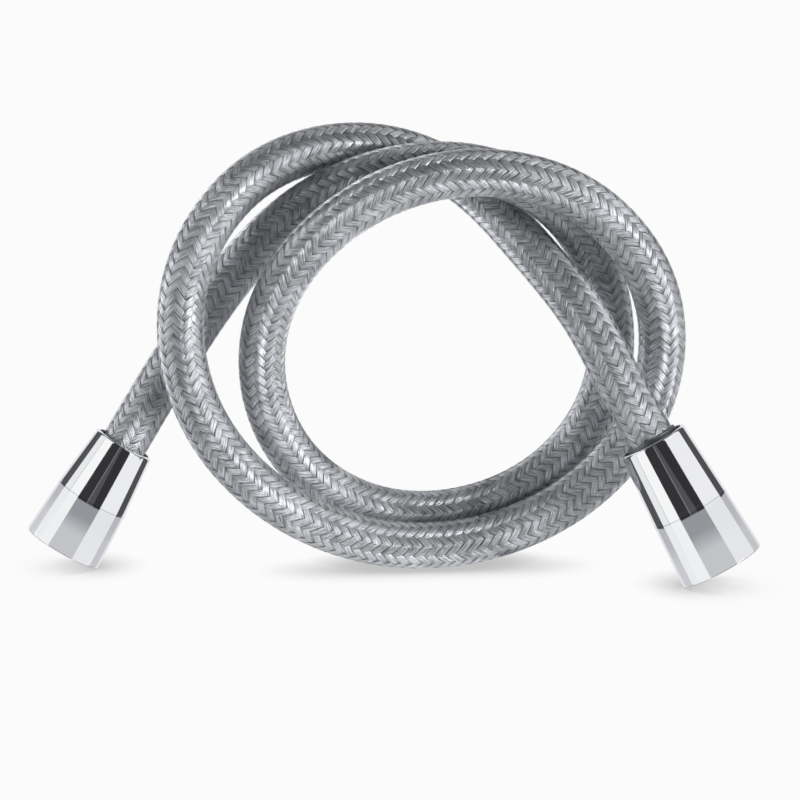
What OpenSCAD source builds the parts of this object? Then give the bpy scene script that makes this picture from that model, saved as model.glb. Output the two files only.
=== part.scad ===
// Braided shower hose with a conical union nut on each end, standing in loose loops.
// Millimetres, +Z up. The origin is under the middle of the whole hose, on the floor.
// An end fitting is drawn in its own frame: z = 0 is its sealing face and +z points out
// of its nut's mouth. at_inlet() and at_outlet() put it where it stands.

/* [Hose] */
// Diameter over the braid
hose_od = 14; // [12:0.5:15]
// Thickness of the braided yarn sleeve
braid_wall = 1; // [0.8:0.1:1.2]
// Wall of the rubber liner
liner_wall = 1.7; // [1.5:0.1:2]
// Sides of the hose's cross-section
hose_sides = 12; // [8:1:12]
// Rings of the hose for each station of its route
rings_per_station = 2; // [1:1:2]

/* [Loops] */
// Size of the loops: the stations of their route are given in hundredths of it
loops_size = 100; // [98:0.5:102]
// Centre of the loops, left or right of the origin
loops_x = 9.8; // [6:0.1:14]
// Centre of the loops, in front of or behind the origin
loops_y = 1.4; // [-4:0.1:6]

/* [Union nuts] */
// Major diameter of the pipe thread (G 1/2)
thread_major = 20.955; // [20.4:0.005:21.2]
// Pitch of the pipe thread
thread_pitch = 1.814; // [1.6:0.001:1.9]
// Length of full thread in a nut
thread_length = 8; // [7:0.5:10]
// Chamfer at the thread's mouth, along the axis
mouth_chamfer = 1.2; // [0.8:0.1:1.5]
// Width of the relief behind the thread
relief_width = 1.5; // [1:0.1:1.8]
// Wall of a nut's narrow rim
rim_wall = 0.8; // [0.6:0.1:1]
// Round on a nut's outer edges
edge_round = 0.5; // [0.3:0.05:0.6]

/* [Inlet nut] */
// Length of the inlet nut
inlet_nut_length = 37; // [34:0.5:40]
// Length of its cone, from the narrow rim to the crease
inlet_cone_length = 19.5; // [17:0.5:22]
// Gap between its narrow rim and the hose
inlet_rim_gap = 1.55; // [1.3:0.05:2]
// Wall at its mouth, outside the thread's minor diameter
inlet_mouth_wall = 2.9; // [2.6:0.1:3.4]
// Drop in radius from its mouth to its crease
inlet_crease_drop = 0.95; // [0.6:0.05:1.1]

/* [Outlet nut] */
// Length of the outlet nut, which covers the swivel
outlet_nut_length = 42.5; // [40:0.5:45]
// Length of its cone, from the narrow rim to the crease
outlet_cone_length = 23; // [20:0.5:25]
// Gap between its narrow rim and the hose
outlet_rim_gap = 2.55; // [1.5:0.05:2.8]
// Wall at its mouth, outside the thread's minor diameter
outlet_mouth_wall = 3.65; // [3.2:0.05:4]
// Drop in radius from its mouth to its crease
outlet_crease_drop = 1.1; // [0.6:0.05:1.3]

/* [Fittings] */
// Thickness of a sealing flange
flange_thick = 2.5; // [2:0.1:3]
// Wall of a barbed shank, around the water passage
shank_wall = 0.85; // [0.7:0.05:1.2]
// How far each barb stands out of its shank
barb_height = 0.5; // [0.3:0.05:0.6]
// Spacing of the barbs
barb_pitch = 3.6; // [3:0.1:4]
// Barbs on each fitting
barb_count = 4; // [3:1:4]
// Wall of a crimped ferrule
ferrule_wall = 0.7; // [0.5:0.05:0.9]
// Length of a ferrule
ferrule_length = 17; // [15:0.5:19]
// Depth of a crimp groove in a ferrule
crimp_depth = 0.3; // [0.1:0.05:0.4]
// Crimp grooves around each ferrule
crimp_count = 3; // [2:1:4]
// Plain length of a ferrule before its first crimp groove
crimp_margin = 3; // [2:0.5:4]
// Length of the nylon glide ring under a nut's shoulder
glide_length = 3; // [2:0.1:4]

/* [Swivel] */
// Diameter of the stem's journal
journal_d = 11; // [10.6:0.1:11.4]
// Length of the swivel bush, its flange included
bush_length = 12; // [11:0.5:13]
// Cord of an O-ring, as squeezed
o_ring_cord = 1.28; // [1.1:0.02:1.4]
// Spacing of the two O-rings
o_ring_pitch = 3.4; // [3:0.1:3.6]
// Thickness of the thrust washer
thrust_thick = 0.8; // [0.6:0.1:1.2]
// Length of the stem's collar
collar_length = 2; // [1.5:0.1:3]
// Thickness of the retaining ring
ring_thick = 1; // [0.8:0.1:1.1]
// Opening of the retaining ring, in degrees
ring_opening = 40; // [30:5:60]

/* [Washers] */
// Thickness of a sealing washer
washer_thick = 2; // [1.5:0.1:2.5]
// Hole in a sealing washer
washer_hole = 12.4; // [11:0.1:13]

/* [Hidden] */

$fn = 96;
chrome = [0.86, 0.87, 0.88];
brass = [0.80, 0.66, 0.38];
steel = [0.66, 0.67, 0.69];
rubber = [0.13, 0.13, 0.14];
nylon = [0.90, 0.90, 0.87];
braid_grey = [0.60, 0.62, 0.65];
liner_grey = [0.30, 0.31, 0.33];

// Clearances
face_gap = 0.3;       // along the axis, between pieces that slide or turn
seat_gap = 0.15;      // at each face of the thrust washer
slide_gap = 0.15;     // radial, under and around a glide ring
flange_gap = 0.2;     // radial, between a flange and the thread
throat_gap = 0.4;     // radial, between a nut's throat and a ferrule
journal_gap = 0.05;   // radial, between the journal and its bush
crimp_gap = 0.1;      // radial, between a ferrule and the hose
shank_gap = 0.1;      // radial, between a barbed shank and the flat sides of the liner's bore

// Union nuts
thread_minor = thread_major - 2 * 0.640327 * thread_pitch;
nut_mouth = thread_length + mouth_chamfer + washer_thick + 0.2;
thread_start = nut_mouth - mouth_chamfer - thread_length;
seat_bore = thread_minor + 0.1;
shoulder_z = -flange_thick - 2 * face_gap - glide_length;
throat_land = 3;

// Ferrules and the ends of the hose
lip_thick = 0.8;
neck_d = 9.8;
ferrule_od = hose_od + 2 * (crimp_gap + ferrule_wall);
throat_d = ferrule_od + 2 * throat_gap;
inlet_hose_z = -flange_thick - lip_thick;
thrust_z = -bush_length - seat_gap;
collar_z = thrust_z - thrust_thick - seat_gap;
outlet_hose_z = collar_z - collar_length - lip_thick;
collar_d = ferrule_od - 0.8;
liner_bore = hose_od - 2 * (braid_wall + liner_wall);
shank_r = liner_bore / 2 * cos(180 / hose_sides) - shank_gap;
fitting_bore = 2 * (shank_r - shank_wall);

// Swivel
bush_bore = journal_d + 2 * journal_gap;
ring_pocket_depth = 2.2;
ring_pocket_d = journal_d + 2.6;
ring_groove_d = journal_d - 0.8;
stem_front_z = -0.3;
o_ring_z = -5;
o_ring_gap = 0.01;
gland_width = 2;
gland_r = bush_bore / 2 - o_ring_cord - 2 * o_ring_gap;

// How the two nuts stand on their rims: foot is the mouth's centre seen from above,
// lean is the axis's angle from upright, and back is how far its top leans to the rear.
inlet_foot = [-99.2, 2.9];
inlet_lean = 31;
inlet_back = 6.5;
inlet_run = 16;
outlet_foot = [98.5, -19.4];
outlet_lean = 29.5;
outlet_back = 7;
outlet_run = 13;

// Stations of the hose's route around the centre of the loops, from the inlet nut to the
// outlet nut: [turn in degrees, radius, depth], the last two in hundredths of the loops'
// size. The turn runs clockwise from the left.
// Each loop is twelve stations of thirty degrees, and the depth decides what passes in
// front: the second loop crosses before the first, and the third behind both at the top.
stations = [
    [15, 63, 17], [45, 56.5, 13.5], [75, 55, 7.5], [105, 58, 6],
    [135, 61.5, 9], [165, 60, 16], [195, 61.5, 18], [225, 59.5, 17],
    [255, 57, 16], [285, 57, 14.5], [315, 55.5, 11.5], [345, 51.5, 5],
    [375, 48.5, -1.5], [405, 47, -6], [435, 50, -8.5], [465, 58, -9],
    [495, 69, -7], [525, 76, -2], [555, 75, 4], [585, 69, 6],
    [615, 64, 2.5], [645, 63.5, -0.5], [675, 66.5, -3], [705, 72.5, -5.5],
    [735, 77.5, -2.5], [765, 76, 12], [795, 64, 23], [825, 51.5, 25.5],
    [855, 43.5, 11.5], [885, 49.5, -6]
];

// ---- Where the two ends stand ----

function nut_mouth_od(wall) = thread_minor + 2 * wall;
function mouth_dir(side, lean, back) =
    [side * sin(lean) * cos(back), -sin(back), -cos(lean) * cos(back)];
// Height of a mouth's centre when the lowest point of its rounded rim touches the floor
function mouth_height(od, lean, back) =
    let (upright = cos(lean) * cos(back))
    (od / 2 - edge_round) * sqrt(1 - upright * upright) + edge_round * (1 - upright);

inlet_dir = mouth_dir(-1, inlet_lean, inlet_back);
inlet_mouth = [
    inlet_foot[0], inlet_foot[1],
    mouth_height(nut_mouth_od(inlet_mouth_wall), inlet_lean, inlet_back)
];
outlet_dir = mouth_dir(1, outlet_lean, outlet_back);
outlet_mouth = [
    outlet_foot[0], outlet_foot[1],
    mouth_height(nut_mouth_od(outlet_mouth_wall), outlet_lean, outlet_back)
];

module at_inlet() {
    translate(inlet_mouth)
        rotate([inlet_back, 180 + inlet_lean, 0])
            translate([0, 0, -nut_mouth])
                children();
}

module at_outlet() {
    translate(outlet_mouth)
        rotate([outlet_back, 180 - outlet_lean, 0])
            translate([0, 0, -nut_mouth])
                children();
}

// ---- The hose's route: a cubic B-spline through straight ends and loops ----

function rise(i) = stations[i][1] * sin(stations[i][0]) * loops_size / 100;
// Height of the loops' centre when the lowest ring of their spline rests on the floor
loops_z = hose_od / 2 - min([for (i = [1:len(stations) - 3]) each [
    (rise(i - 1) + 4 * rise(i) + rise(i + 1)) / 6,
    (rise(i - 1) + 23 * rise(i) + 23 * rise(i + 1) + rise(i + 2)) / 48
]]);
function station_point(s) = [
    loops_x - s[1] * cos(s[0]) * loops_size / 100,
    loops_y + s[2] * loops_size / 100,
    loops_z + s[1] * sin(s[0]) * loops_size / 100
];
function end_points(mouth, dir, hose_z, run) =
    [for (k = [-1:3]) mouth - dir * (nut_mouth - hose_z + k * run)];
function reversed(list) = [for (i = [len(list) - 1:-1:0]) list[i]];

route = concat(
    end_points(inlet_mouth, inlet_dir, inlet_hose_z, inlet_run),
    [for (s = stations) station_point(s)],
    reversed(end_points(outlet_mouth, outlet_dir, outlet_hose_z, outlet_run))
);

function spline_point(i, u) = (
    pow(1 - u, 3) * route[i] + (3 * pow(u, 3) - 6 * u * u + 4) * route[i + 1]
    + (-3 * pow(u, 3) + 3 * u * u + 3 * u + 1) * route[i + 2] + pow(u, 3) * route[i + 3]
) / 6;
function spline_slope(i, u) = (
    -(1 - u) * (1 - u) * route[i] + (3 * u * u - 4 * u) * route[i + 1]
    + (-3 * u * u + 2 * u + 1) * route[i + 2] + u * u * route[i + 3]
) / 2;
function unit(v) = v / norm(v);

// Parameters of the rings: [span, place in the span]
function steps(per_station) = concat(
    [for (i = [0:len(route) - 4], j = [0:per_station - 1]) [i, j / per_station]],
    [[len(route) - 4, 1]]
);
function centreline(per_station) = [for (s = steps(per_station)) spline_point(s[0], s[1])];

// A ring of the hose lies square to the route, its first side towards the loops' outside
function ring(step, r) =
    let (
        centre = spline_point(step[0], step[1]),
        along = unit(spline_slope(step[0], step[1])),
        out = unit(cross(along, [0, 1, 0])),
        across = cross(along, out)
    )
    [for (k = [0:hose_sides - 1])
        let (a = 360 * k / hose_sides) centre + r * (cos(a) * out + sin(a) * across)];

// An open tube wall with a bore: rings of the outside, then of the inside
module hose_layer(r_out, r_in) {
    rings = steps(rings_per_station);
    n = hose_sides;
    last = len(rings) - 1;
    inner = len(rings) * n;
    points = concat(
        [for (s = rings) each ring(s, r_out)],
        [for (s = rings) each ring(s, r_in)]
    );
    walls = [for (i = [0:last - 1], k = [0:n - 1])
        let (a = i * n + k, b = i * n + (k + 1) % n)
        each [
            [a, b, b + n], [a, b + n, a + n],
            [inner + a, inner + b + n, inner + b], [inner + a, inner + a + n, inner + b + n]
        ]];
    ends = [for (k = [0:n - 1])
        let (a = k, b = (k + 1) % n, c = last * n + k, d = last * n + (k + 1) % n)
        each [
            [a, inner + b, b], [a, inner + a, inner + b],
            [c, d, inner + d], [c, inner + d, inner + c]
        ]];
    polyhedron(points, concat(walls, ends));
}

// Length of the hose, and the least gap between stretches more than three diameters apart
function path_length(p) = [for (i = 1, s = 0; i < len(p); s = s + norm(p[i] - p[i - 1]), i = i + 1)
    s + norm(p[i] - p[i - 1])][len(p) - 2];
gap_steps = 4;
gap_line = centreline(gap_steps);
gap_skip = ceil(3 * hose_od / (path_length(gap_line) / len(gap_line))) + 1;
least_gap = min([for (i = [0:len(gap_line) - 1 - gap_skip])
    min([for (j = [i + gap_skip:len(gap_line) - 1]) norm(gap_line[i] - gap_line[j])])]) - hose_od;
echo(str("hose length ", path_length(gap_line), " mm, least gap to itself ", least_gap, " mm"));

module hose_liner() {
    color(liner_grey) hose_layer(hose_od / 2 - braid_wall, liner_bore / 2);
}

module hose_braid() {
    color(braid_grey) hose_layer(hose_od / 2, hose_od / 2 - braid_wall);
}

// ---- Shared shapes of the end fittings ----

function arc(centre, r, from, to) =
    [for (i = [0:6]) centre + r * [cos(from + (to - from) * i / 6), sin(from + (to - from) * i / 6)]];

module revolve(profile) {
    rotate_extrude() polygon(profile);
}

module flat_ring(od, id, z, thick) {
    translate([0, 0, z])
        difference() {
            cylinder(d = od, h = thick);
            translate([0, 0, -1]) cylinder(d = id, h = thick + 2);
        }
}

// Conical union nut: smooth cone from the narrow rim to a crease, then a fuller grip band
module union_nut(length, cone_length, rim_gap, mouth_wall, crease_drop) {
    rim_z = nut_mouth - length;
    rim_id = hose_od + 2 * rim_gap;
    rim_r = rim_id / 2 + rim_wall;
    rim_round = rim_wall / 2 - 0.05;
    mouth_r = nut_mouth_od(mouth_wall) / 2;
    relief_r = thread_major / 2 + 0.1;
    revolve(concat(
        [[rim_id / 2, rim_z]],
        arc([rim_r - rim_round, rim_z + rim_round], rim_round, -90, 0),
        [[mouth_r - crease_drop, rim_z + cone_length]],
        arc([mouth_r - edge_round, nut_mouth - edge_round], edge_round, 0, 90),
        [
            [thread_minor / 2 + mouth_chamfer, nut_mouth],
            [thread_minor / 2, nut_mouth - mouth_chamfer],
            [thread_minor / 2, thread_start],
            [relief_r, thread_start],
            [relief_r, thread_start - relief_width],
            [seat_bore / 2, thread_start - relief_width],
            [seat_bore / 2, shoulder_z],
            [throat_d / 2, shoulder_z],
            [throat_d / 2, shoulder_z - throat_land]
        ]
    ));
}

module sealing_flange() {
    translate([0, 0, -flange_thick]) cylinder(d = thread_minor - 2 * flange_gap, h = flange_thick);
}

function shank_length() = (barb_count + 0.5) * barb_pitch;

// Barbed shank inside the hose, with the neck that the ferrule's lip hooks behind. Each barb
// rises towards the hose's end and drops square behind it.
module barbed_shank(z) {
    translate([0, 0, z]) cylinder(d = neck_d, h = lip_thick + 0.1);
    translate([0, 0, z - shank_length()]) cylinder(r = shank_r, h = shank_length() + 0.1);
    for (i = [0:barb_count - 1])
        translate([0, 0, z - (i + 1) * barb_pitch])
            cylinder(r1 = shank_r, r2 = shank_r + barb_height, h = barb_pitch * 0.6);
}

// Water passage, cut from the shank's end to past the sealing face
module through_bore(z) {
    translate([0, 0, z - shank_length() - 1])
        cylinder(d = fitting_bore, h = shank_length() - z + 2);
}

// Crimped sleeve over the end of the hose, hooked behind the fitting by its inner lip
module ferrule(hose_z) {
    back_z = hose_z + lip_thick - ferrule_length;
    difference() {
        translate([0, 0, back_z]) cylinder(d = ferrule_od, h = ferrule_length);
        translate([0, 0, back_z - 1])
            cylinder(d = hose_od + 2 * crimp_gap, h = ferrule_length + 1 - lip_thick);
        translate([0, 0, hose_z - 1]) cylinder(d = neck_d + 0.2, h = lip_thick + 2);
        for (i = [0:crimp_count - 1])
            translate([0, 0, hose_z - crimp_margin - i * (ferrule_length - 2 * crimp_margin) / crimp_count])
                rotate_extrude()
                    polygon([
                        [ferrule_od / 2 + 1, 0.2], [ferrule_od / 2 - crimp_depth, -0.6],
                        [ferrule_od / 2 - crimp_depth, -1.4], [ferrule_od / 2 + 1, -2.2]
                    ]);
    }
}

module glide_ring(inner_d) {
    flat_ring(
        thread_minor - 2 * slide_gap, inner_d + 2 * slide_gap,
        -flange_thick - face_gap - glide_length, glide_length
    );
}

module sealing_washer() {
    flat_ring(thread_minor - 2 * slide_gap, washer_hole, 0, washer_thick);
}

// ---- Inlet end: flanged tail crimped into the hose ----

module inlet_tail() {
    color(brass) at_inlet()
        difference() {
            union() {
                sealing_flange();
                barbed_shank(inlet_hose_z);
            }
            through_bore(inlet_hose_z);
            translate([0, 0, -1]) cylinder(d1 = fitting_bore, d2 = fitting_bore + 2.2, h = 1.1);
        }
}

module inlet_ferrule() {
    color(steel) at_inlet() ferrule(inlet_hose_z);
}

module inlet_washer() {
    color(rubber) at_inlet() sealing_washer();
}

module inlet_glide_ring() {
    color(nylon) at_inlet() glide_ring(ferrule_od);
}

module inlet_nut() {
    color(chrome) at_inlet()
        union_nut(
            inlet_nut_length, inlet_cone_length, inlet_rim_gap,
            inlet_mouth_wall, inlet_crease_drop
        );
}

// ---- Outlet end: a stem crimped into the hose, turning in a flanged swivel bush ----

module outlet_stem() {
    color(brass) at_outlet()
        difference() {
            union() {
                translate([0, 0, collar_z]) cylinder(d = journal_d, h = stem_front_z - collar_z);
                translate([0, 0, collar_z - collar_length]) cylinder(d = collar_d, h = collar_length);
                barbed_shank(outlet_hose_z);
            }
            for (i = [0, 1])
                translate([0, 0, o_ring_z - i * o_ring_pitch])
                    flat_ring(journal_d + 1, 2 * gland_r, -gland_width / 2, gland_width);
            flat_ring(journal_d + 1, ring_groove_d, -ring_pocket_depth + 0.05, ring_thick + 0.1);
            through_bore(outlet_hose_z);
            translate([0, 0, stem_front_z - 1])
                cylinder(d1 = fitting_bore, d2 = fitting_bore + 2.2, h = 1.1);
        }
}

module outlet_ferrule() {
    color(steel) at_outlet() ferrule(outlet_hose_z);
}

module outlet_o_rings() {
    color(rubber) at_outlet()
        for (i = [0, 1])
            translate([0, 0, o_ring_z - i * o_ring_pitch])
                rotate_extrude()
                    translate([gland_r + o_ring_gap + o_ring_cord / 2, 0])
                        circle(d = o_ring_cord, $fn = 24);
}

// Open spring ring in the stem's front groove, which keeps the bush on the stem
module outlet_retaining_ring() {
    color(steel) at_outlet()
        translate([0, 0, -ring_pocket_depth + 0.1])
            rotate([0, 0, ring_opening / 2])
                rotate_extrude(angle = 360 - ring_opening)
                    translate([ring_groove_d / 2 + 0.05, 0])
                        square([(ring_pocket_d - ring_groove_d) / 2 - 0.25, ring_thick]);
}

module outlet_thrust_washer() {
    color(nylon) at_outlet()
        flat_ring(ferrule_od, journal_d + 2 * slide_gap, thrust_z - thrust_thick, thrust_thick);
}

module outlet_swivel_bush() {
    color(brass) at_outlet()
        difference() {
            union() {
                sealing_flange();
                translate([0, 0, -bush_length]) cylinder(d = ferrule_od, h = bush_length);
            }
            translate([0, 0, -bush_length - 1]) cylinder(d = bush_bore, h = bush_length + 2);
            translate([0, 0, -ring_pocket_depth]) cylinder(d = ring_pocket_d, h = ring_pocket_depth + 1);
        }
}

module outlet_washer() {
    color(rubber) at_outlet() sealing_washer();
}

module outlet_glide_ring() {
    color(nylon) at_outlet() glide_ring(ferrule_od);
}

module outlet_nut() {
    color(chrome) at_outlet()
        union_nut(
            outlet_nut_length, outlet_cone_length, outlet_rim_gap,
            outlet_mouth_wall, outlet_crease_drop
        );
}

hose_liner();
hose_braid();
inlet_tail();
inlet_ferrule();
inlet_washer();
inlet_glide_ring();
inlet_nut();
outlet_stem();
outlet_ferrule();
outlet_o_rings();
outlet_retaining_ring();
outlet_thrust_washer();
outlet_swivel_bush();
outlet_washer();
outlet_glide_ring();
outlet_nut();
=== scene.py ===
import math

import bpy
import numpy as np
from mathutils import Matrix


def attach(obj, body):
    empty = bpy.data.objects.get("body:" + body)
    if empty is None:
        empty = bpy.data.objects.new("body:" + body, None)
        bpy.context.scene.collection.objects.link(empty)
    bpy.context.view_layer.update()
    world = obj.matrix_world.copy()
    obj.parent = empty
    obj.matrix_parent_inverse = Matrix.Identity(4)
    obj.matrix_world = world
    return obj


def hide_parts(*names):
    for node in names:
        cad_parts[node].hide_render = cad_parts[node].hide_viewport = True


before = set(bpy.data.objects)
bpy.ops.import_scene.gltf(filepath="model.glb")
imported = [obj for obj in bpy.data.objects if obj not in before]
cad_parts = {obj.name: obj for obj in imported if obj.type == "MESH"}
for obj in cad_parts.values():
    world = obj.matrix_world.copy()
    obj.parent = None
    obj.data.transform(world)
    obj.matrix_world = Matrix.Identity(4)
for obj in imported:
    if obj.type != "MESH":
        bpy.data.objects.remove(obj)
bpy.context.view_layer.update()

# ---- Camera ----
# A long lens stands 0.8 m in front of the loops and looks 11 degrees down on them, so that the
# nearest and the furthest run of the hose look almost the same width.
LENS = 119.88
EYE = (0.0033, -0.7839, 0.20485)
LOOK_DOWN = 11

camera = bpy.data.objects.new("camera", bpy.data.cameras.new("camera"))
camera.data.lens = LENS
camera.location = EYE
camera.rotation_euler = (math.radians(90 - LOOK_DOWN), 0, 0)
bpy.context.scene.collection.objects.link(camera)
bpy.context.scene.camera = camera

# ---- The hose's route ----
# The hose is one metre of rubber tube under a sleeve of braided yarn. It leaves each nut
# straight and springs into a little over two loose loops that stand on the floor.
HOSE_RADIUS = 0.007
BRAID_WALL = 0.001
LINER_WALL = 0.0017
# Heights along a nut's axis run from its sealing face, at nought, up to its mouth
NUT_MOUTH = 0.0114
INLET_MOUTH = np.array([-0.0992, 0.0029, 0.006214])
INLET_AXIS = np.array([-0.51172734, -0.11320321, -0.85165731])
INLET_HOSE_END = -0.0033
INLET_RUN = 0.016
OUTLET_MOUTH = np.array([0.0985, -0.0194, 0.006347])
OUTLET_AXIS = np.array([0.48875311, -0.12186934, -0.8638682])
OUTLET_HOSE_END = -0.0159
OUTLET_RUN = 0.013
LOOPS = np.array([0.0098, 0.0014, 0.068008])
# Turn from the left in degrees, radius in mm and depth in mm
STATIONS = np.array([
    [15, 63, 17], [45, 56.5, 13.5], [75, 55, 7.5], [105, 58, 6],
    [135, 61.5, 9], [165, 60, 16], [195, 61.5, 18], [225, 59.5, 17],
    [255, 57, 16], [285, 57, 14.5], [315, 55.5, 11.5], [345, 51.5, 5],
    [375, 48.5, -1.5], [405, 47, -6], [435, 50, -8.5], [465, 58, -9],
    [495, 69, -7], [525, 76, -2], [555, 75, 4], [585, 69, 6],
    [615, 64, 2.5], [645, 63.5, -0.5], [675, 66.5, -3], [705, 72.5, -5.5],
    [735, 77.5, -2.5], [765, 76, 12], [795, 64, 23], [825, 51.5, 25.5],
    [855, 43.5, 11.5], [885, 49.5, -6],
])
SPAN_STEPS = 40


def straight_end(mouth, axis, hose_end, run):
    """Five points in line with a nut: its mouth's centre less its axis times the depth of the
    hose's end and -1 to 3 runs."""
    return mouth - np.outer(NUT_MOUTH - hose_end + np.arange(-1, 4) * run, axis)


def spline(points, per_span):
    """Uniform cubic B-spline: each span blends four neighbours with the weights (1-u)^3,
    3u^3-6u^2+4, -3u^3+3u^2+3u+1 and u^3, all over six."""
    u = np.arange(per_span) / per_span
    weights = np.stack([
        (1 - u) ** 3, 3 * u**3 - 6 * u**2 + 4, -3 * u**3 + 3 * u**2 + 3 * u + 1, u**3
    ]) / 6
    spans = np.lib.stride_tricks.sliding_window_view(points, 4, axis=0)
    inner = np.einsum("sdw,wu->sud", spans, weights).reshape(-1, 3)
    return np.vstack([inner, (points[-3] + 4 * points[-2] + points[-1]) / 6])


turn = np.radians(STATIONS[:, 0])
stations = LOOPS + np.stack([
    -STATIONS[:, 1] * np.cos(turn), STATIONS[:, 2], STATIONS[:, 1] * np.sin(turn)
], axis=1) / 1000
route = np.vstack([
    straight_end(INLET_MOUTH, INLET_AXIS, INLET_HOSE_END, INLET_RUN),
    stations,
    straight_end(OUTLET_MOUTH, OUTLET_AXIS, OUTLET_HOSE_END, OUTLET_RUN)[::-1],
])
centreline = spline(route, SPAN_STEPS)
steps = np.linalg.norm(np.diff(centreline, axis=0), axis=1)
station_at = np.concatenate([[0], np.cumsum(steps)])
HOSE_LENGTH = station_at[-1]
along = np.gradient(centreline, station_at, axis=0)
along /= np.linalg.norm(along, axis=1, keepdims=True)
outward = np.cross(along, [0, 1, 0])
outward /= np.linalg.norm(outward, axis=1, keepdims=True)
across = np.cross(along, outward)


def on_hose(s, angle, radius):
    """Point of the hose at arc length s: its centre plus radius times the outward direction
    turned by angle about the centreline."""
    def read(table):
        return np.stack([np.interp(s, station_at, table[:, i]) for i in range(3)], axis=-1)
    turned = np.cos(angle)[..., None] * read(outward) + np.sin(angle)[..., None] * read(across)
    return read(centreline) + radius[..., None] * turned


# ---- Hose liner ----
# The tube that carries the water, extruded in dark grey rubber. Only slits of it show between
# the yarns, and its bore can be seen from the fittings.
LINER_RINGS = 700
LINER_SIDES = 48
# How far the rubber swells up between the yarns
LINER_SWELL = 0.0003
LINER_UV_LENGTH = 0.02
RUBBER_DARK = (0.045, 0.048, 0.053, 1)
RUBBER_LIGHT = (0.085, 0.09, 0.098, 1)
RUBBER_GRAIN = 900
RUBBER_ROUGHNESS = 0.6


def wall_faces(rows, columns, ring=False):
    """Squares between neighbours of a grid whose columns close on themselves, and whose rows
    do too where ring is true."""
    i, k = np.meshgrid(np.arange(rows if ring else rows - 1), np.arange(columns), indexing="ij")
    i, k = i.ravel(), k.ravel()
    j, m = (i + 1) % rows, (k + 1) % columns
    return np.stack([i * columns + k, i * columns + m, j * columns + m, j * columns + k], axis=1)


def make_piece(name, points, faces, uv, material, body):
    """A smooth mesh of four-sided faces with one UV pair for each corner, riding on a body."""
    mesh = bpy.data.meshes.new(name)
    mesh.vertices.add(len(points))
    mesh.vertices.foreach_set("co", points.astype(np.float32).ravel())
    mesh.loops.add(faces.size)
    mesh.loops.foreach_set("vertex_index", faces.astype(np.int32).ravel())
    mesh.polygons.add(len(faces))
    mesh.polygons.foreach_set("loop_start", np.arange(len(faces), dtype=np.int32) * 4)
    mesh.polygons.foreach_set("use_smooth", np.ones(len(faces), dtype=bool))
    mesh.update(calc_edges=True)
    layer = mesh.uv_layers.new(name="UVMap")
    layer.data.foreach_set("uv", uv.astype(np.float32).ravel())
    mesh.materials.append(material)
    piece = bpy.data.objects.new(name, mesh)
    bpy.context.scene.collection.objects.link(piece)
    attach(piece, body)
    return piece


def new_material(name):
    """A material whose node tree holds only a Principled shader and its output, with that tree
    and the shader."""
    material = bpy.data.materials.new(name)
    material.use_nodes = True
    return material, material.node_tree, material.node_tree.nodes["Principled BSDF"]


def add(tree, kind, values=None, **settings):
    """A node with its settings and its input values, each by the input's name or place."""
    node = tree.nodes.new(kind)
    for key, value in settings.items():
        setattr(node, key, value)
    for key, value in (values or {}).items():
        if isinstance(value, bpy.types.NodeSocket):
            tree.links.new(value, node.inputs[key])
        else:
            node.inputs[key].default_value = value
    return node


def grain_group():
    """A node group for a fine, even grain. It gives a colour between two, the grain's own value
    and a slightly uneven normal."""
    group = bpy.data.node_groups.new("fine_grain", "ShaderNodeTree")
    for name, way, kind in (
        ("Dark", "INPUT", "NodeSocketColor"), ("Light", "INPUT", "NodeSocketColor"),
        ("Scale", "INPUT", "NodeSocketFloat"), ("Color", "OUTPUT", "NodeSocketColor"),
        ("Grain", "OUTPUT", "NodeSocketFloat"), ("Normal", "OUTPUT", "NodeSocketVector"),
    ):
        group.interface.new_socket(name, in_out=way, socket_type=kind)
    given = add(group, "NodeGroupInput").outputs
    place = add(group, "ShaderNodeTexCoord").outputs["Object"]
    noise = add(group, "ShaderNodeTexNoise", {
        "Vector": place, "Scale": given["Scale"], "Detail": 4
    })
    grain = noise.outputs["Fac"]
    tone = add(group, "ShaderNodeMix", {
        0: grain, 6: given["Dark"], 7: given["Light"]
    }, data_type="RGBA")
    bump = add(group, "ShaderNodeBump", {"Height": grain, "Distance": 0.00002, "Strength": 0.3})
    add(group, "NodeGroupOutput", {
        "Color": tone.outputs[2], "Grain": grain, "Normal": bump.outputs[0]
    })
    return group


fine_grain = grain_group()
rubber_dark, tree, shader = new_material("liner_rubber")
grain = add(tree, "ShaderNodeGroup", {
    "Dark": RUBBER_DARK, "Light": RUBBER_LIGHT, "Scale": RUBBER_GRAIN
}, node_tree=fine_grain)
tree.links.new(grain.outputs["Color"], shader.inputs["Base Color"])
tree.links.new(grain.outputs["Normal"], shader.inputs["Normal"])
shader.inputs["Roughness"].default_value = RUBBER_ROUGHNESS

# The outer wall's rings run to the hose's far end and the bore's rings run back
s = np.linspace(0, HOSE_LENGTH, LINER_RINGS)
s = np.concatenate([s, s[::-1]])[:, None] + np.zeros((1, LINER_SIDES))
angle = np.zeros((len(s), 1)) + np.arange(LINER_SIDES) * 2 * np.pi / LINER_SIDES
outer = HOSE_RADIUS - BRAID_WALL + LINER_SWELL
bore = HOSE_RADIUS - BRAID_WALL - LINER_WALL
radius = np.where(np.arange(len(s))[:, None] < LINER_RINGS, outer, bore)
faces = wall_faces(len(s), LINER_SIDES, ring=True)
uv = np.stack([angle / (2 * np.pi), s / LINER_UV_LENGTH], axis=-1).reshape(-1, 2)[faces]
liner_tube = make_piece(
    "liner_tube", on_hose(s, angle, radius).reshape(-1, 3), faces, uv, rubber_dark, "hose"
)
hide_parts("hose_liner")

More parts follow.
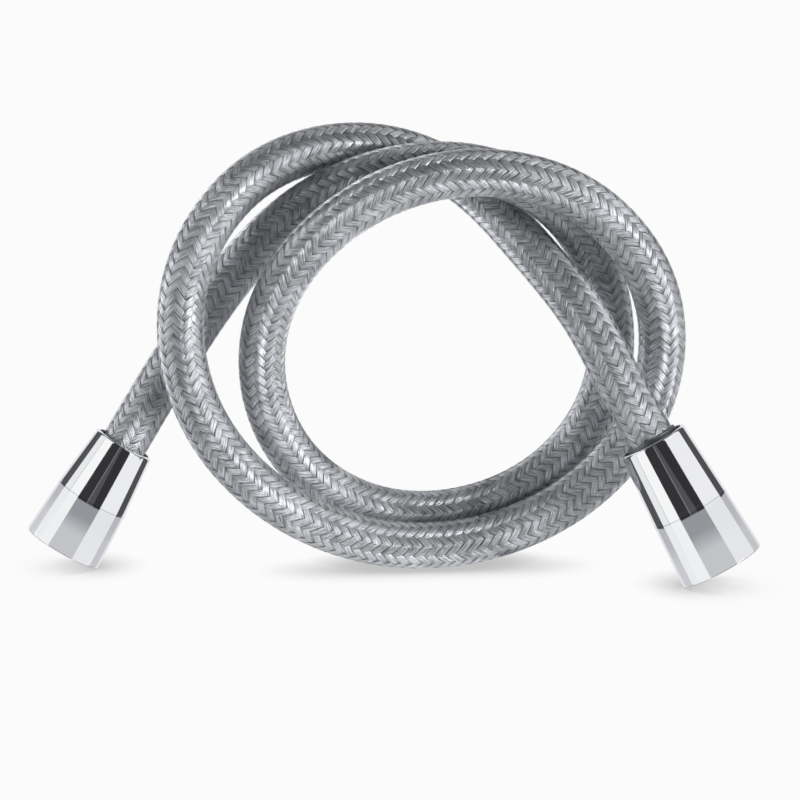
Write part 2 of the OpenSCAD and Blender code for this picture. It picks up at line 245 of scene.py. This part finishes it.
# ---- Braided sleeve ----
# Twenty-eight flat strands of silky grey yarn, fourteen each way round, plaited two over and
# two under by a braiding machine that runs the liner through its middle.
CARRIERS = 14
STRAND_PITCH = 0.00317
STRAND_WIDTH = 0.00213
STRAND_THICK = 0.00046
STRAND_MIDDLE = 0.00668
# A strand's section from edge to edge over the top and back below, in shares of its size
SECTION_WIDE = np.array([-0.5, -0.38, 0, 0.38, 0.5, 0.34, 0, -0.34])
SECTION_HIGH = np.array([0.24, 0.46, 0.5, 0.46, 0.24, -0.5, -0.5, -0.5])
SECTION_LID = np.array([[0, 1, 6, 7], [1, 2, 5, 6], [2, 3, 4, 5]])
WEAVE_HEIGHT = 0.00014
WEAVE_SHARPNESS = 1.4
FIRST_CROSSING = 0.8
CROSSING_STEPS = 3.0
LEAD = CARRIERS * STRAND_PITCH
SLANT = math.atan2(2 * math.pi * STRAND_MIDDLE, LEAD)
# Each strand has its own whole number of the UV map's first value, which runs across it
UV_STEP = 3
UV_LEFT_HAND = 50
UV_FILLED = 0.98
# Cells of the fibres' noise across a strand and along the same length, and its roughness
FIBRES_ACROSS = 11.0
FIBRES_ALONG = 0.7
FIBRE_NOISE = 0.65
FIBRE_DEPTH = 0.0003
PATCH_SCALE = 160
PATCH_SHARE = 0.25
# Where the fibres' noise turns from the dark colour to the light one
DARK_TO_LIGHT = (0.46, 0.76)
# How far from a strand's middle the painted shade at its edge begins, as a share of the UV map's
# step
EDGE_SHADE_FROM = 0.44
DIVE_SHADE = 0.55
YARN_DARK = (0.13, 0.139, 0.154, 1)
YARN_LIGHT = (0.86, 0.885, 0.92, 1)
# Painted shade at a strand's edges
YARN_EDGE_SHADE = (0.25, 0.26, 0.275, 1)
# Painted shade where a strand dives under the ones that cross it
YARN_DIVE_SHADE = (0.13, 0.135, 0.145, 1)

yarn_grey, tree, shader = new_material("braid_yarn")
strand_uv = add(tree, "ShaderNodeUVMap", uv_map="UVMap").outputs[0]
split = add(tree, "ShaderNodeSeparateXYZ", {0: strand_uv})
side, run = split.outputs["X"], split.outputs["Y"]
# Fibres are fine lines along the strand
streak_place = add(tree, "ShaderNodeCombineXYZ", {
    "X": add(tree, "ShaderNodeMath", {0: side, 1: FIBRES_ACROSS}, operation="MULTIPLY").outputs[0],
    "Y": add(tree, "ShaderNodeMath", {0: run, 1: FIBRES_ALONG}, operation="MULTIPLY").outputs[0],
})
streak = add(tree, "ShaderNodeTexNoise", {
    "Vector": streak_place.outputs[0], "Scale": 1.0, "Detail": 5, "Roughness": FIBRE_NOISE
})
patch = add(tree, "ShaderNodeTexNoise", {
    "Vector": add(tree, "ShaderNodeTexCoord").outputs["Object"], "Scale": PATCH_SCALE, "Detail": 2
})
spread = add(tree, "ShaderNodeMath", {
    0: patch.outputs["Fac"], 1: PATCH_SHARE, 2: streak.outputs["Fac"]
}, operation="MULTIPLY_ADD")
tone = add(tree, "ShaderNodeValToRGB", {0: spread.outputs[0]})
tone.color_ramp.elements[0].position = DARK_TO_LIGHT[0]
tone.color_ramp.elements[0].color = YARN_DARK
tone.color_ramp.elements[1].position = DARK_TO_LIGHT[1]
tone.color_ramp.elements[1].color = YARN_LIGHT
# Painted shade: a strand's colour darkens at its two edges, for the shade of the slits between
# strands
within = add(tree, "ShaderNodeMath", {0: side}, operation="FRACT").outputs[0]
off_middle = add(tree, "ShaderNodeMath", {
    0: add(tree, "ShaderNodeMath", {0: within, 1: 0.5}, operation="SUBTRACT").outputs[0]
}, operation="ABSOLUTE").outputs[0]
edge_shade_mask = add(tree, "ShaderNodeMapRange", {
    "Value": off_middle, "From Min": EDGE_SHADE_FROM, "From Max": 0.5, "To Min": 0.0, "To Max": 1.0
}, interpolation_type="SMOOTHSTEP")
shaded = add(tree, "ShaderNodeMix", {
    0: edge_shade_mask.outputs[0], 6: tone.outputs[0], 7: YARN_EDGE_SHADE
}, data_type="RGBA")
# Painted shade: its colour darkens too where it dives under the ones that cross it
dive_shade_mask = add(tree, "ShaderNodeMapRange", {
    "Value": add(tree, "ShaderNodeAttribute", attribute_name="lift").outputs["Fac"],
    "From Min": -0.6, "From Max": 0.6, "To Min": DIVE_SHADE, "To Max": 1.0
}, interpolation_type="SMOOTHSTEP")
dive_shaded = add(tree, "ShaderNodeMix", {
    0: dive_shade_mask.outputs[0], 6: YARN_DIVE_SHADE, 7: shaded.outputs[2]
}, data_type="RGBA")
tree.links.new(dive_shaded.outputs[2], shader.inputs["Base Color"])
bump = add(tree, "ShaderNodeBump", {
    "Height": streak.outputs["Fac"], "Distance": FIBRE_DEPTH, "Strength": 1.0
})
tree.links.new(bump.outputs[0], shader.inputs["Normal"])
# Silky fibres mirror a lamp as a streak across themselves
across_fibres = add(tree, "ShaderNodeTangent", direction_type="UV_MAP", uv_map="UVMap")
tree.links.new(across_fibres.outputs[0], shader.inputs["Tangent"])
shader.inputs["Anisotropic"].default_value = 0.9
shader.inputs["Roughness"].default_value = 0.38
shader.inputs["Metallic"].default_value = 0.6
shader.inputs["Sheen Weight"].default_value = 0.06
shader.inputs["Sheen Roughness"].default_value = 0.5


def strand(index, hand):
    """One strand: an eight-sided flat section carried along a helix of the hose. It is lifted
    and sunk by the hyperbolic tangent of a cosine wave, four crossed strands to a wave."""
    steps = int(HOSE_LENGTH / LEAD * 2 * CARRIERS * CROSSING_STEPS)
    run = np.linspace(0, HOSE_LENGTH, steps)
    wide, high = SECTION_WIDE, SECTION_HIGH
    if hand < 0:
        wide, high = -wide[::-1], high[::-1]
    own = 2 * np.pi * (index / CARRIERS + hand * run / LEAD)
    w = wide * STRAND_WIDTH
    s = np.clip(run[:, None] - hand * w * math.sin(SLANT), 0, HOSE_LENGTH)
    angle = own[:, None] + w * math.cos(SLANT) / STRAND_MIDDLE
    crossed = (angle + hand * 2 * np.pi * s / LEAD) * CARRIERS / (2 * np.pi)
    wave = hand * np.cos(np.pi / 2 * (index + crossed - FIRST_CROSSING))
    lifted = WEAVE_HEIGHT * np.tanh(WEAVE_SHARPNESS * wave) / math.tanh(WEAVE_SHARPNESS)
    points = on_hose(s, angle, STRAND_MIDDLE + lifted + high * STRAND_THICK)
    sides = len(wide)
    lid_at_end = SECTION_LID + (steps - 1) * sides
    faces = np.vstack([wall_faces(steps, sides), SECTION_LID[:, ::-1], lid_at_end])
    first = UV_STEP * index + (UV_LEFT_HAND if hand < 0 else 0)
    side = first + wide * UV_FILLED + 0.5
    uv = np.stack([side + 0 * s, run[:, None] / STRAND_WIDTH + 0 * s], axis=-1).reshape(-1, 2)
    return points.reshape(-1, 3), faces, uv[faces], wave.ravel()


def strands(name, indices, hand):
    """Several strands of one hand as one piece, with the height of the weave's wave from -1 to
    1 kept on its points."""
    parts = [strand(i, hand) for i in indices]
    starts = np.cumsum([0] + [len(p[0]) for p in parts[:-1]])
    piece = make_piece(
        name,
        np.vstack([p[0] for p in parts]),
        np.vstack([p[1] + at for p, at in zip(parts, starts)]),
        np.vstack([p[2] for p in parts]),
        yarn_grey, "hose",
    )
    lift = piece.data.attributes.new("lift", "FLOAT", "POINT")
    lift.data.foreach_set("value", np.concatenate([p[3] for p in parts]).astype(np.float32))
    return piece


braid = [
    strands("braid_right_1", range(0, 5), 1),
    strands("braid_right_2", range(5, 10), 1),
    strands("braid_right_3", range(10, 14), 1),
    strands("braid_left_1", range(0, 5), -1),
    strands("braid_left_2", range(5, 10), -1),
    strands("braid_left_3", range(10, 14), -1),
]
for piece in braid:
    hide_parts("hose_braid")

# ---- Union nuts ----
# Each end has a conical nut of turned brass, polished and chromed. It slides back along the
# hose and turns freely, and its G 1/2 thread pulls the sealing face onto a fitting.
NUTS = {
    "inlet_nut": {
        "mouth": INLET_MOUTH, "axis": INLET_AXIS, "length": 0.037, "cone": 0.0195,
        "rim_radius": 0.00935, "crease_radius": 0.0112661, "mouth_radius": 0.0122161,
    },
    "outlet_nut": {
        "mouth": OUTLET_MOUTH, "axis": OUTLET_AXIS, "length": 0.0425, "cone": 0.023,
        "rim_radius": 0.01035, "crease_radius": 0.0118661, "mouth_radius": 0.0129661,
    },
}
NUT_SIDES = 192
# The first point, inwards of the rim's radius and above the rim
RIM_LIP = (0.0011, 0.0002)
RIM_ROUND = 0.0009
CONE_ROWS = 30
# One row just past the crease keeps its edge crisp
CREASE_ROW = (0.00002, 0.00015)
BAND_ROWS = 16
BAND_END = NUT_MOUTH - 0.0003
MOUTH_ROUND = 0.00025
MOUTH_CHAMFER = 0.0012
THREAD_MINOR = 0.0093161
THREAD_MAJOR = 0.0104775
THREAD_PITCH = 0.001814
THREAD_START = 0.0022
THREAD_LENGTH = 0.008
TURN_ROWS = 8
RELIEF_RADIUS = THREAD_MAJOR + 0.0001
RELIEF_WIDTH = 0.0015
SEAT_RADIUS = 0.0093661
SHOULDER = -0.0061
THROAT_RADIUS = 0.0082
THROAT_END = -0.0091
# The UV map's second value is the distance past the crease towards the mouth, in centimetres,
# and far below nought in the bore
UV_IN_BORE = -9
CREASE_WIDTH = 0.02
HAZE_SCALE = 60
CHROME_ROUGHNESS = (0.04, 0.07)
BORE_ROUGHNESS = 0.45
BORE_METALLIC = 0.3
CHROME = (0.93, 0.935, 0.94, 1)
# Painted reflection: a grey line at the crease, where the chrome's edge looks darker
CREASE_PAINTED_LINE = (0.66, 0.67, 0.69, 1)
# Painted shade inside the nut's bore, which is also less metallic and rougher
BORE_PAINTED_SHADE = (0.1, 0.103, 0.11, 1)

chrome, tree, shader = new_material("nut_chrome")
nut_uv = add(tree, "ShaderNodeUVMap", uv_map="UVMap").outputs[0]
past = add(tree, "ShaderNodeSeparateXYZ", {0: nut_uv}).outputs["Y"]
in_bore = add(tree, "ShaderNodeMath", {0: past, 1: -5.0}, operation="LESS_THAN").outputs[0]
bore_metal_mix = add(tree, "ShaderNodeMix", {0: in_bore, 2: 1.0, 3: BORE_METALLIC})
tree.links.new(bore_metal_mix.outputs[0], shader.inputs["Metallic"])
# Painted reflection: a thin grey line round the nut at the crease
painted_crease_line = add(tree, "ShaderNodeMath", {0: past, 1: 0.0, 2: CREASE_WIDTH}, operation="COMPARE")
chrome_with_crease_line = add(tree, "ShaderNodeMix", {
    0: painted_crease_line.outputs[0], 6: CHROME, 7: CREASE_PAINTED_LINE
}, data_type="RGBA")
# Painted shade: the bore is coloured dark grey
chrome_or_bore_shade = add(tree, "ShaderNodeMix", {
    0: in_bore, 6: chrome_with_crease_line.outputs[2], 7: BORE_PAINTED_SHADE
}, data_type="RGBA")
tree.links.new(chrome_or_bore_shade.outputs[2], shader.inputs["Base Color"])
haze = add(tree, "ShaderNodeTexNoise", {
    "Vector": add(tree, "ShaderNodeTexCoord").outputs["Object"], "Scale": HAZE_SCALE, "Detail": 3
})
gloss = add(tree, "ShaderNodeMapRange", {
    "Value": haze.outputs["Fac"], "To Min": CHROME_ROUGHNESS[0], "To Max": CHROME_ROUGHNESS[1]
})
bore_rough_mix = add(tree, "ShaderNodeMix", {0: in_bore, 2: gloss.outputs[0], 3: BORE_ROUGHNESS})
tree.links.new(bore_rough_mix.outputs[0], shader.inputs["Roughness"])


def round_corner(centre, radius, first, last, steps=8):
    """Points of an arc: centre plus radius times the cosine and sine of angles from first to
    last."""
    turn = np.radians(np.linspace(first, last, steps))
    return np.asarray(centre) + radius * np.stack([np.cos(turn), np.sin(turn)], axis=1)


def straight(first, last, rows):
    """Points of a straight line from first to last, without its two ends."""
    return np.stack([np.linspace(a, b, rows)[1:-1] for a, b in zip(first, last)], axis=1)


def union_nut(name, mouth, axis, length, cone, rim_radius, crease_radius, mouth_radius):
    """A profile of radius and height turned about the nut's axis. In the thread's rows the
    radius also rises to the major radius along a helix, one pitch a turn."""
    rim = NUT_MOUTH - length
    crease = rim + cone
    row_height = THREAD_PITCH / TURN_ROWS
    lands = np.arange(THREAD_START + row_height, THREAD_START + THREAD_LENGTH, row_height)[::-1]
    outer = np.vstack([
        [[rim_radius - RIM_LIP[0], rim + RIM_LIP[1]]],
        round_corner([rim_radius - RIM_ROUND, rim + RIM_ROUND], RIM_ROUND, -88, -8),
        straight([rim_radius, rim + RIM_ROUND], [crease_radius, crease], CONE_ROWS),
        [[crease_radius, crease], [crease_radius + CREASE_ROW[0], crease + CREASE_ROW[1]]],
        straight([crease_radius, crease], [mouth_radius, BAND_END], BAND_ROWS),
        round_corner([mouth_radius - MOUTH_ROUND, NUT_MOUTH - MOUTH_ROUND], MOUTH_ROUND, 5, 90),
    ])
    bore = np.vstack([
        [[THREAD_MINOR + MOUTH_CHAMFER, NUT_MOUTH], [THREAD_MINOR, NUT_MOUTH - MOUTH_CHAMFER]],
        np.stack([np.full(len(lands), THREAD_MINOR), lands], axis=1),
        [
            [THREAD_MINOR, THREAD_START], [RELIEF_RADIUS, THREAD_START],
            [RELIEF_RADIUS, THREAD_START - RELIEF_WIDTH],
            [SEAT_RADIUS, THREAD_START - RELIEF_WIDTH],
            [SEAT_RADIUS, SHOULDER], [THROAT_RADIUS, SHOULDER], [THROAT_RADIUS, THROAT_END],
        ],
    ])
    profile = np.vstack([outer, bore])
    rows = np.arange(len(profile))[:, None]
    turn = np.arange(NUT_SIDES) * 2 * np.pi / NUT_SIDES
    height = profile[:, 1:] + 0 * turn
    cut = (height > THREAD_START + 0.0001) & (height < NUT_MOUTH - MOUTH_CHAMFER - 0.0001)
    cut &= profile[:, :1] < THREAD_MINOR + 1e-6
    phase = (height / THREAD_PITCH - turn / (2 * np.pi)) % 1
    flank = (THREAD_MAJOR - THREAD_MINOR) * (1 - np.abs(2 * phase - 1))
    radius = profile[:, :1] + np.where(cut, flank, 0)
    side = np.cross(axis, [0, 1, 0])
    side /= np.linalg.norm(side)
    front = np.cross(axis, side)
    spoke = np.cos(turn)[None, :, None] * side + np.sin(turn)[None, :, None] * front
    points = mouth + (height - NUT_MOUTH)[..., None] * axis + radius[..., None] * spoke
    faces = wall_faces(len(profile), NUT_SIDES, ring=True)
    outside = (rows > 0) & (rows < len(outer))
    past = np.where(outside, (height - crease) * 100, UV_IN_BORE)
    uv = np.stack([turn / (2 * np.pi) + 0 * height, past], axis=-1).reshape(-1, 2)
    return make_piece(name + "_shell", points.reshape(-1, 3), faces, uv[faces], chrome, name)


nut_shells = {name: union_nut(name, **sizes) for name, sizes in NUTS.items()}
for name, piece in nut_shells.items():
    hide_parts(name)

# ---- Fittings inside the nuts ----
# Turned brass tail, stem and bush, steel ferrules and spring ring, rubber washers and O-rings,
# and nylon glide rings. They show at the nuts' mouths and when a nut is slid back.
FITTING_GRAIN = 700
# Dark colour, light colour, how metallic, and the roughness of the grain's dark and light
FITTING_FINISHES = {
    "fitting_brass": ((0.60, 0.43, 0.17), (0.72, 0.54, 0.25), 1.0, 0.22, 0.34),
    "fitting_steel": ((0.20, 0.204, 0.212), (0.29, 0.295, 0.305), 0.7, 0.45, 0.6),
    "fitting_rubber": ((0.016, 0.016, 0.018), (0.035, 0.035, 0.038), 0.0, 0.55, 0.72),
    "fitting_nylon": ((0.72, 0.71, 0.66), (0.82, 0.81, 0.77), 0.0, 0.35, 0.5),
}
FITTING_NODES = {
    "fitting_brass": ["inlet_tail", "outlet_stem", "outlet_swivel_bush"],
    "fitting_steel": ["inlet_ferrule", "outlet_ferrule", "outlet_retaining_ring"],
    "fitting_rubber": ["inlet_washer", "outlet_washer", "outlet_o_rings"],
    "fitting_nylon": ["inlet_glide_ring", "outlet_glide_ring", "outlet_thrust_washer"],
}
for name, (dark, light, metallic, smooth, rough) in FITTING_FINISHES.items():
    finish, tree, shader = new_material(name)
    grain = add(tree, "ShaderNodeGroup", {
        "Dark": (*dark, 1), "Light": (*light, 1), "Scale": FITTING_GRAIN
    }, node_tree=fine_grain)
    gloss = add(tree, "ShaderNodeMapRange", {
        "Value": grain.outputs["Grain"], "To Min": smooth, "To Max": rough
    })
    tree.links.new(grain.outputs["Color"], shader.inputs["Base Color"])
    tree.links.new(gloss.outputs[0], shader.inputs["Roughness"])
    tree.links.new(grain.outputs["Normal"], shader.inputs["Normal"])
    shader.inputs["Metallic"].default_value = metallic
    for node in FITTING_NODES[name]:
        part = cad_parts[node]
        part.data.materials.clear()
        part.data.materials.append(finish)

# ---- Floor ----
# A plain white sheet, evenly lit. Close to the object its glow dims in a soft painted shadow,
# and the lamps' faint shadows lie on it. The nuts' mirror shows the studio's cards in its place.
BACKGROUND = 0.985
FLOOR_REACH = 20
SHADE_REACH = 0.016
SHADE_LEAN = (0, 0.2, 0.98)
DEEPEST_SHADE = 0.54
# The sheet lights the object a little less than it shows
LENT_LIGHT = 0.8
OWN_GLOW = 0.955
SHEET_WHITE = (0.9, 0.9, 0.9, 1)
WHITE = (1, 1, 1, 1)


def empty_tree(owner):
    """The node tree of a material or a world, with nothing in it."""
    owner.use_nodes = True
    owner.node_tree.nodes.clear()
    return owner.node_tree


floor_white = bpy.data.materials.new("floor_white")
tree = empty_tree(floor_white)
# Painted shadow: the sheet's glow dims where the object is near, leant so it falls a little towards
# the front
painted_shadow_ao = add(tree, "ShaderNodeAmbientOcclusion", {
    "Distance": SHADE_REACH, "Normal": SHADE_LEAN
}, samples=16)
strength = add(tree, "ShaderNodeMapRange", {
    "Value": painted_shadow_ao.outputs["AO"],
    "From Min": 0.2, "From Max": 0.97, "To Min": DEEPEST_SHADE, "To Max": 1.0
}, interpolation_type="SMOOTHSTEP")
rays = add(tree, "ShaderNodeLightPath")
lent = add(tree, "ShaderNodeMapRange", {
    "Value": rays.outputs["Is Diffuse Ray"], "To Min": 1.0, "To Max": LENT_LIGHT
})
shown = add(tree, "ShaderNodeMath", {
    0: strength.outputs[0], 1: lent.outputs[0]
}, operation="MULTIPLY")
glow = add(tree, "ShaderNodeEmission", {"Color": WHITE, "Strength": shown.outputs[0]})
white = add(tree, "ShaderNodeBsdfDiffuse", {"Color": SHEET_WHITE})
pale = add(tree, "ShaderNodeMixShader", {0: OWN_GLOW, 1: white.outputs[0], 2: glow.outputs[0]})
add(tree, "ShaderNodeOutputMaterial", {"Surface": pale.outputs[0]})

corners = [(x * FLOOR_REACH, y * FLOOR_REACH, 0) for x, y in ((-1, -1), (1, -1), (1, 1), (-1, 1))]
sheet = bpy.data.meshes.new("floor")
sheet.from_pydata(corners, [], [(0, 1, 2, 3)])
sheet.materials.append(floor_white)
floor = bpy.data.objects.new("floor", sheet)
bpy.context.scene.collection.objects.link(floor)
floor.visible_glossy = False

# ---- Studio light ----
# Two soft lamps stand low, one at the left and a harder one in front at the right. The walls
# are dim for all but the camera, metal and glass.
WALL_LIGHT = 0.1
# Strength, spread in degrees, and turn about x and about z in degrees
LAMPS = {
    "left_lamp": (3.1, 34, 85, -103),
    "right_lamp": (3.4, 16, 88, 53),
}

world = bpy.data.worlds.new("studio")
bpy.context.scene.world = world
tree = empty_tree(world)
rays = add(tree, "ShaderNodeLightPath").outputs
camera_or_metal = add(tree, "ShaderNodeMath", {
    0: rays["Is Camera Ray"], 1: rays["Is Glossy Ray"]
}, operation="MAXIMUM")
seen = add(tree, "ShaderNodeMath", {
    0: camera_or_metal.outputs[0], 1: rays["Is Transmission Ray"]
}, operation="MAXIMUM")
level = add(tree, "ShaderNodeMapRange", {
    "Value": seen.outputs[0], "To Min": WALL_LIGHT, "To Max": BACKGROUND
})
walls = add(tree, "ShaderNodeBackground", {"Color": WHITE, "Strength": level.outputs[0]})
add(tree, "ShaderNodeOutputWorld", {"Surface": walls.outputs[0]})

for name, (strength, spread, about_x, about_z) in LAMPS.items():
    lamp = bpy.data.objects.new(name, bpy.data.lights.new(name, "SUN"))
    lamp.data.energy = strength
    lamp.data.angle = math.radians(spread)
    lamp.rotation_euler = (math.radians(about_x), 0, math.radians(about_z))
    bpy.context.scene.collection.objects.link(lamp)

# ---- Reflection cards ----
# White and dark sheets stand round each nut along its axis. Only gloss sees them: they draw the
# stripes that polished chrome shows in a studio. Below the crease they are paler, a painted
# reflection of the floor, which gloss doesn't see.
CARD_DISTANCE = 0.06
CARD_COLUMNS = 13
MEAN_NUT_RADIUS = 0.0115
# First and last place across the nut at its rim and again at its crease, as shares of its
# radius, and how bright the sheet is above the crease, just below it, and at the mouth
CARDS = [
    (-1.0, -0.945, -1.0, -0.945, 0.8, 0.8, 0.8),
    (-0.945, -0.785, -0.945, -0.785, 0.085, 0.5, 0.62),
    (-0.785, -0.63, -0.785, -0.63, 0.86, 0.88, 0.88),
    (-0.63, -0.61, -0.63, -0.61, 0.62, 0.83, 0.9),
    (-0.61, -0.345, -0.61, -0.345, 0.98, 0.93, 0.92),
    (-0.345, -0.07, -0.345, -0.07, 0.035, 0.32, 0.58),
    (-0.07, -0.045, -0.07, -0.045, 0.2, 0.32, 0.58),
    (-0.045, 0.03, -0.045, 0.13, 0.085, 0.32, 0.58),
    (0.03, 0.325, 0.13, 0.325, 0.032, 0.32, 0.58),
    (0.325, 0.79, 0.325, 0.79, 0.89, 0.82, 0.84),
    (0.79, 0.945, 0.79, 0.945, 0.08, 0.5, 0.58),
    (0.945, 1.0, 0.945, 1.0, 0.8, 0.8, 0.8),
]
# Heights above the nut's mouth: the low sheets' four rows below it, the shares of the crease's
# height up to the crease, and the top of the high sheets
BELOW_MOUTH = (-0.12, -0.04, -0.022, -0.012)
UP_TO_CREASE = (0.3, 0.62, 1)
CARD_TOP = 0.1
# The lowest rows, part of the painted floor reflection, are this share as bright as the stripe above
# the crease
FLOOR_MIRROR = 0.45
# How much of each colour a dark sheet gains
CARD_BLUE = np.array([0.0, 0.01, 0.12])
# Mouth, axis, how high the crease and the rim mirror, and how far a row sags at the sides
CARD_PLACES = {
    "cards_inlet": (INLET_MOUTH, INLET_AXIS, 0.017, 0.039, 0.003),
    "cards_outlet": (OUTLET_MOUTH, OUTLET_AXIS, 0.0198, 0.044, 0.0053),
}

studio_card = bpy.data.materials.new("studio_card")
tree = empty_tree(studio_card)
level = add(tree, "ShaderNodeAttribute", attribute_name="level")
glow = add(tree, "ShaderNodeEmission", {"Color": level.outputs["Color"], "Strength": 1.0})
add(tree, "ShaderNodeOutputMaterial", {"Surface": glow.outputs[0]})


def hang_cards(name, sheets):
    """Sheets as one piece that only glossy rays see. Each sheet is an array of points, rows by
    columns, and the brightness of each row, a little blue where it is dark."""
    starts = np.cumsum([0] + [points.shape[0] * points.shape[1] for points, _ in sheets])
    faces, glows = [], []
    for start, (points, levels) in zip(starts, sheets):
        rows, columns = points.shape[:2]
        corner = (start + np.arange(rows - 1)[:, None] * columns + np.arange(columns - 1)).ravel()
        faces.append(np.stack([corner, corner + 1, corner + columns + 1, corner + columns], axis=1))
        bright = np.asarray(levels)[:, None, None]
        tinted = bright * (1 + np.clip(1 - bright, 0, 1) * CARD_BLUE)
        glows.append(np.concatenate([tinted, np.ones_like(bright)], axis=-1).repeat(columns, axis=1))
    mesh = bpy.data.meshes.new(name)
    points = np.concatenate([p.reshape(-1, 3) for p, _ in sheets])
    mesh.from_pydata(points.tolist(), [], np.concatenate(faces).tolist())
    colours = np.concatenate([g.reshape(-1, 4) for g in glows]).astype(np.float32)
    level = mesh.attributes.new("level", "FLOAT_COLOR", "POINT")
    level.data.foreach_set("color", colours.ravel())
    mesh.materials.append(studio_card)
    piece = bpy.data.objects.new(name, mesh)
    bpy.context.scene.collection.objects.link(piece)
    piece.visible_camera = False
    piece.visible_diffuse = False
    piece.visible_shadow = False
    piece.visible_transmission = False


def card_sheet(mouth, axis, sag, places, ups):
    """A sheet's points on a cylinder about the nut's axis, a row for each pair of places across
    the nut and each height above its mouth. The mirror turns by twice the surface's own turn,
    and because the sheet is near, by a little less. A row sags towards the sides by the square
    of the place, which keeps its mirror image level."""
    to_eye = np.array(camera.location) - mouth
    facing = to_eye - to_eye @ axis * axis
    facing /= np.linalg.norm(facing)
    right = np.cross(-axis, facing)
    place = np.linspace(*np.transpose(places), CARD_COLUMNS, axis=1)
    turn = 2 * np.arcsin(place) - np.arcsin(place * MEAN_NUT_RADIUS / CARD_DISTANCE)
    bend = np.cos(turn)[..., None] * facing + np.sin(turn)[..., None] * right
    height = np.array(ups)[:, None] - sag * place**2
    return mouth + CARD_DISTANCE * bend - height[..., None] * axis


for name, (mouth, axis, crease_up, rim_up, sag) in CARD_PLACES.items():
    low_ups = [*BELOW_MOUTH, *(share * crease_up for share in UP_TO_CREASE)]
    high_ups = [crease_up, rim_up, CARD_TOP]
    sheets = []
    for first, last, crease_first, crease_last, cone, below, at_mouth in CARDS:
        at_crease, at_rim = (crease_first, crease_last), (first, last)
        low = card_sheet(mouth, axis, sag, [at_crease] * len(low_ups), low_ups)
        high = card_sheet(mouth, axis, sag, [at_crease, at_rim, at_rim], high_ups)
        floor_level = FLOOR_MIRROR * cone
        sheets.append((low, (floor_level, floor_level, cone, at_mouth, at_mouth, below, below)))
        sheets.append((high, (cone, cone, cone)))
    hang_cards(name, sheets)

# A dark sheet that only gloss sees hangs in an arch from the floor in front over the top. It
# dims the hose's reflections, which leaves the middle and the upper side of each run of hose
# darker than its edges. It reaches further to the left.
ARCH_RADIUS = 0.6
ARCH_LEVEL = 0.05
ARCH_TURN = np.radians(np.linspace(-54, 30, 9))
ARCH_RISE = np.radians(np.linspace(-20, 126, 15))[:, None]
arch = LOOPS + ARCH_RADIUS * np.stack([
    np.sin(ARCH_TURN) + 0 * ARCH_RISE,
    -np.cos(ARCH_TURN) * np.cos(ARCH_RISE),
    np.cos(ARCH_TURN) * np.sin(ARCH_RISE),
], axis=-1)
hang_cards("dark_arch", [(arch, np.full(len(ARCH_RISE), ARCH_LEVEL))])

bpy.context.scene.view_settings.view_transform = "Standard"
